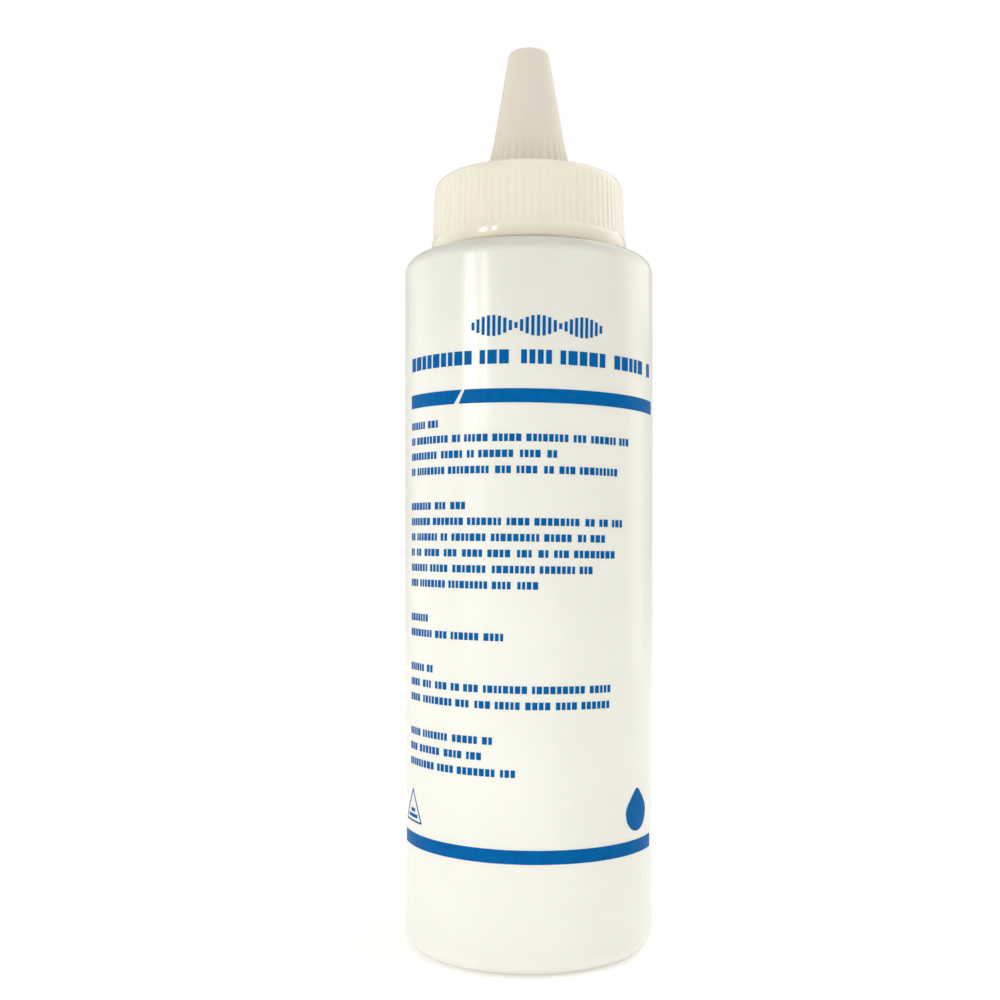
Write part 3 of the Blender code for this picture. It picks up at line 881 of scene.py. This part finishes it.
def foil_material():
    """Heat-sealed aluminium foil: pressed ring over the lip, small creases."""
    n = Nodes("sealing_foil")
    creases = n.add("ShaderNodeTexVoronoi", feature="DISTANCE_TO_EDGE")
    creases.inputs["Scale"].default_value = 260.0
    n.link(n.coords, creases.inputs["Vector"])
    shine = n.remap(n.noise(300.0, 3.0), 0.0, 1.0)
    n.link(n.mix(shine, srgb(196, 197, 201), srgb(222, 222, 224)), n.shader.inputs["Base Color"])
    n.link(n.remap(n.noise(900.0, 2.0), 0.22, 0.38), n.shader.inputs["Roughness"])
    n.bump([(n.remap(creases.outputs["Distance"], 0.0, 1.0, 0.0, 0.25), 0.5, 0.08),
            (n.noise(700.0, 3.0), 0.3, 0.05)])
    n.set(Metallic=1.0)
    return n.material


def foam_material():
    """Closed-cell foam of the gasket."""
    n = Nodes("gasket_foam_cells")
    cells = n.add("ShaderNodeTexVoronoi")
    cells.inputs["Scale"].default_value = 3000.0
    n.link(n.coords, cells.inputs["Vector"])
    tone = n.remap(cells.outputs["Distance"], 0.0, 1.0, 0.0, 0.6)
    n.link(n.mix(tone, srgb(228, 228, 222), srgb(244, 244, 240)), n.shader.inputs["Base Color"])
    n.bump([(cells.outputs["Distance"], 0.4, 0.04)])
    n.set(Roughness=0.75)
    return n.material


def rubber_material():
    """Pale silicone of the nozzle's seal."""
    n = Nodes("seal_silicone")
    tone = n.remap(n.noise(500.0, 2.0), 0.0, 1.0)
    n.link(n.mix(tone, srgb(206, 206, 200), srgb(216, 216, 210)), n.shader.inputs["Base Color"])
    n.bump([(n.noise(2200.0, 2.0), 0.2, 0.01)])
    n.set(Roughness=0.5, Subsurface_Weight=0.1, Subsurface_Scale=0.001)
    return n.material


def build_materials():
    return {
        "bottle": bottle_material(),
        "cap": moulded_material("cap_polypropylene", srgb(238, 232, 217), srgb(235, 228, 211),
                                roughness=0.09, grain_strength=0.06),
        "nozzle": moulded_material("nozzle_polypropylene", srgb(222, 213, 200),
                                   srgb(218, 208, 193), roughness=0.50, grain_strength=0.15),
        "ink": ink_material(),
        "gel": gel_material(),
        "foil": foil_material(),
        "gasket": foam_material(),
        "seal": rubber_material(),
    }


# ---- studio ----------------------------------------------------------------------------------

def build_floor():
    """White paper that fades into the backdrop away from the bottle. Lengths are metres here."""
    half, level = 6.0, -0.0002
    corners = [(-half, -half, level), (half, -half, level), (half, half, level),
               (-half, half, level)]
    mesh = make_mesh("studio_floor", corners, [(0, 1, 2, 3)])
    floor = bpy.data.objects.new("studio_floor", mesh)
    bpy.context.scene.collection.objects.link(floor)
    n = Nodes("studio_paper")
    tone = n.remap(n.noise(9.0, 3.0), 0.0, 1.0)
    n.link(n.mix(tone, (0.90, 0.90, 0.895, 1.0), (0.92, 0.92, 0.915, 1.0)),
           n.shader.inputs["Base Color"])
    n.set(Roughness=0.9, Specular_IOR_Level=0.0)
    n.shader.inputs["Emission Color"].default_value = (1.0, 1.0, 1.0, 1.0)
    n.shader.inputs["Emission Strength"].default_value = 0.22
    flat = n.add("ShaderNodeMapping")
    flat.inputs["Scale"].default_value = (1.0, 1.0, 0.0)
    n.link(n.coords, flat.inputs["Vector"])
    away = n.add("ShaderNodeVectorMath", operation="LENGTH")
    n.link(flat.outputs["Vector"], away.inputs[0])
    path = n.add("ShaderNodeLightPath")
    far = n.add("ShaderNodeMath", operation="MULTIPLY")
    n.link(n.remap(away.outputs["Value"], 0.0, 1.0, 0.06, 0.32), far.inputs[0])
    n.link(path.outputs["Is Camera Ray"], far.inputs[1])
    glow = n.add("ShaderNodeEmission")
    mix = n.add("ShaderNodeMixShader")
    n.link(far.outputs["Value"], mix.inputs["Fac"])
    n.link(n.shader.outputs["BSDF"], mix.inputs[1])
    n.link(glow.outputs["Emission"], mix.inputs[2])
    n.link(mix.outputs["Shader"], n.tree.nodes["Material Output"].inputs["Surface"])
    mesh.materials.append(n.material)


def build_world():
    """A white backdrop for the camera and a softer, level-dependent glow for the object."""
    world = bpy.data.worlds.new("studio_world")
    bpy.context.scene.world = world
    world.use_nodes = True
    tree = world.node_tree
    tree.nodes.clear()
    out = tree.nodes.new("ShaderNodeOutputWorld")
    seen = tree.nodes.new("ShaderNodeBackground")
    seen.inputs["Color"].default_value = (1.0, 1.0, 1.0, 1.0)
    seen.inputs["Strength"].default_value = 1.0
    glow = tree.nodes.new("ShaderNodeBackground")
    coords = tree.nodes.new("ShaderNodeTexCoord")
    split = tree.nodes.new("ShaderNodeSeparateXYZ")
    ramp = tree.nodes.new("ShaderNodeMapRange")
    ramp.inputs["From Min"].default_value = 0.0
    ramp.inputs["From Max"].default_value = 1.0
    ramp.inputs["To Min"].default_value = 0.62
    ramp.inputs["To Max"].default_value = 0.56
    tree.links.new(coords.outputs["Generated"], split.inputs["Vector"])
    tree.links.new(split.outputs["Z"], ramp.inputs["Value"])
    tree.links.new(ramp.outputs["Result"], glow.inputs["Strength"])
    glow.inputs["Color"].default_value = (1.0, 0.99, 0.965, 1.0)
    path = tree.nodes.new("ShaderNodeLightPath")
    mix = tree.nodes.new("ShaderNodeMixShader")
    tree.links.new(path.outputs["Is Camera Ray"], mix.inputs["Fac"])
    tree.links.new(glow.outputs["Background"], mix.inputs[1])
    tree.links.new(seen.outputs["Background"], mix.inputs[2])
    tree.links.new(mix.outputs["Shader"], out.inputs["Surface"])


def area_light(name, azimuth, height, distance, size, power, color, aim=0.09):
    """An area light that looks at the axis at the level aim. Lengths are metres here.

    azimuth is in degrees from the front, growing to the right.
    """
    data = bpy.data.lights.new(name, "AREA")
    data.shape = "RECTANGLE"
    data.size, data.size_y = size
    data.energy = power
    data.color = color
    light = bpy.data.objects.new(name, data)
    light.visible_camera = False
    a = math.radians(azimuth)
    light.location = (distance * math.sin(a), -distance * math.cos(a), height)
    direction = light.location.copy()
    direction.z -= aim
    light.rotation_euler = direction.to_track_quat("Z", "Y").to_euler()
    bpy.context.scene.collection.objects.link(light)


def build_lights():
    """Soft boxes on both sides and above, two small ones low in front, and two narrow lamps."""
    white = (1.0, 0.995, 0.98)
    warm = (1.0, 0.985, 0.945)
    box = (0.35, 0.35)
    wide = (0.7, 0.7)
    area_light("left", -50.0, 0.15, 0.8, box, 0.33, white)
    area_light("left_side", -90.0, 0.15, 0.8, box, 0.17, white)
    area_light("left_back", -115.0, 0.15, 0.8, box, 0.28, white)
    area_light("left_high_back", -120.0, 0.55, 0.60, wide, 0.56, white)
    area_light("right_back", 115.0, 0.15, 0.8, box, 0.29, warm)
    area_light("right_high", 52.0, 0.55, 0.60, wide, 0.76, warm)
    area_light("right_high_back", 120.0, 0.55, 0.60, wide, 1.60, warm)
    area_light("top", 0.0, 0.70, 0.05, (0.4, 0.4), 0.46, white)
    area_light("low_left", -45.0, 0.03, 0.17, (0.14, 0.10), 0.026, white, aim=0.05)
    area_light("low_front", 0.0, 0.02, 0.17, (0.14, 0.10), 0.025, white, aim=0.045)
    area_light("glint", -52.5, 0.228, 0.60, (0.10, 0.11), 0.31, white)
    area_light("glint_side", -39.0, 0.228, 0.60, (0.055, 0.11), 0.17, white)


def build_camera():
    """Level, in front of the bottle, with the lens axis a little below the middle of the view."""
    data = bpy.data.cameras.new("photo_camera")
    data.sensor_width = 36.0
    data.lens = 45.43
    data.shift_x = -0.0289
    data.shift_y = 0.053
    data.clip_start = 0.01
    data.clip_end = 20.0
    camera = bpy.data.objects.new("photo_camera", data)
    camera.location = (0.0, -0.257, 0.0785)
    camera.rotation_euler = (math.radians(90.0), 0.0, 0.0)
    bpy.context.scene.collection.objects.link(camera)
    bpy.context.scene.camera = camera


materials = build_materials()
build_bottle(materials)
build_pinch_line(materials)
build_gel(materials)
build_foil(materials)
build_print(materials)
build_cap(materials)
build_spigot(materials)
build_pin(materials)
build_webs(materials)
build_gasket(materials)
build_nozzle(materials)
build_seal(materials)
build_floor()
build_world()
build_lights()
build_camera()
bpy.context.scene.view_settings.view_transform = "Standard"
